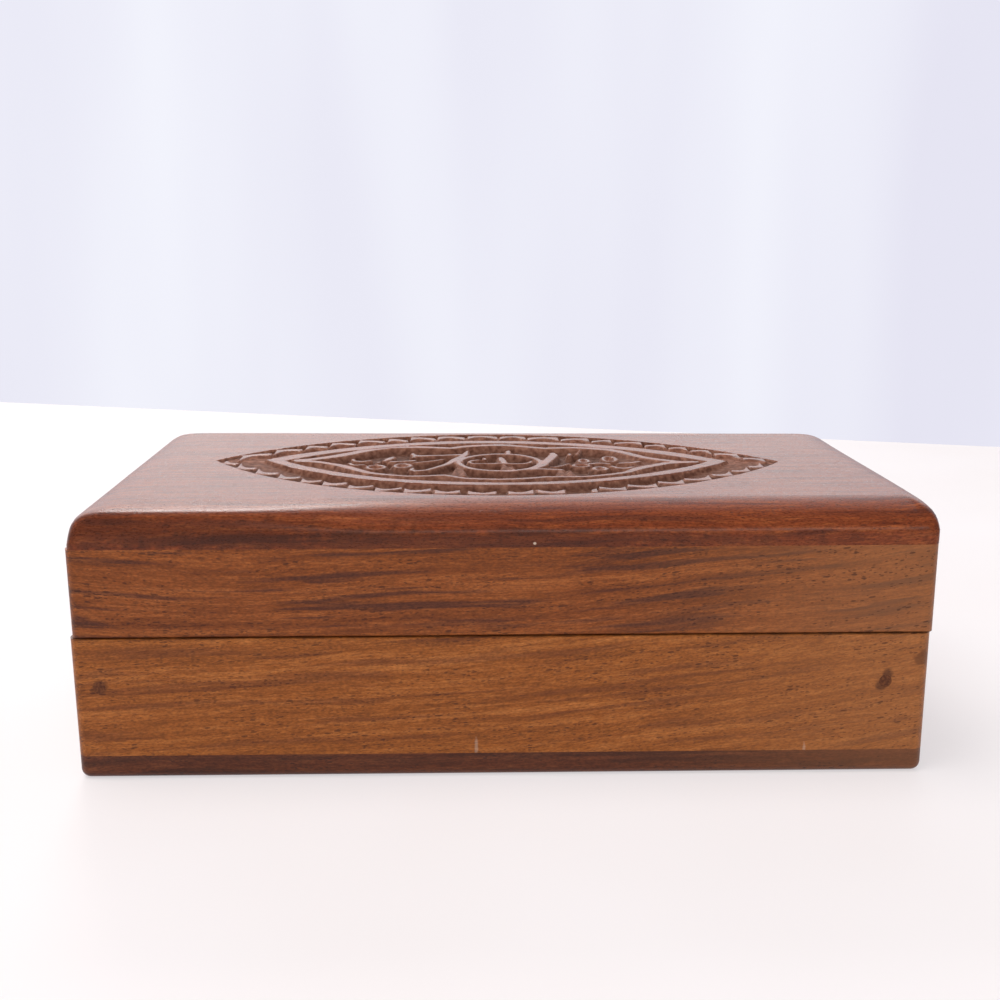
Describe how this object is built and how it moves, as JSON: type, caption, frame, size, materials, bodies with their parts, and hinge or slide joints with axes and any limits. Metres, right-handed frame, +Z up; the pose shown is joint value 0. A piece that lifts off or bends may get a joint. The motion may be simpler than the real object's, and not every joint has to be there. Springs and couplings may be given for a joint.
{
  "type": "trinket box",
  "caption": "Shallow rectangular wooden box with a hinged lid whose thick, roll-edged top board carries an almond-shaped floral relief carving.",
  "frame": {"origin": "under the middle of the closed box, on the surface it stands on", "axes": "+X to the right along the front, +Y from the front to the hinges at the back, +Z up"},
  "size_m": [0.2036, 0.102, 0.0668],
  "materials": {
    "carved_wood": "Indian rosewood, rubbed with wax, satin",
    "lid_wood": "Indian rosewood, rubbed with wax, satin",
    "base_wood": "Indian rosewood, rubbed with wax, satin",
    "dark_wood": "dark Indian rosewood heartwood, rubbed with wax, satin",
    "brass": "stamped brass, slightly dulled",
    "nail_steel": "drawn steel wire",
    "filler": "dried wood filler, matt",
    "velvet": "short-pile velvet glued over card"
  },
  "bodies": {
    "base": {"base_bottom": "dark_wood", "base_front": "base_wood", "base_back": "base_wood", "base_left": "base_wood", "base_right": "base_wood", "base_lining": "velvet", "base_nails": "nail_steel", "nail_plugs": "filler", "base_hinge_screws": "brass", "hinge_left_base_leaf": "brass", "hinge_right_base_leaf": "brass", "hinge_left_pin": "brass", "hinge_right_pin": "brass"},
    "lid": {"lid_top": "carved_wood", "lid_front": "lid_wood", "lid_back": "lid_wood", "lid_left": "lid_wood", "lid_right": "lid_wood", "lid_lining": "velvet", "lid_hinge_screws": "brass", "hinge_left_lid_leaf": "brass", "hinge_right_lid_leaf": "brass"}
  },
  "joints": [
    {"name": "lid_hinge", "type": "hinge", "parent": "base", "child": "lid", "pos_m": [0, 0.048, 0.0355], "axis": [-1, 0, 0], "range_deg": [0, 98]}
  ]
}
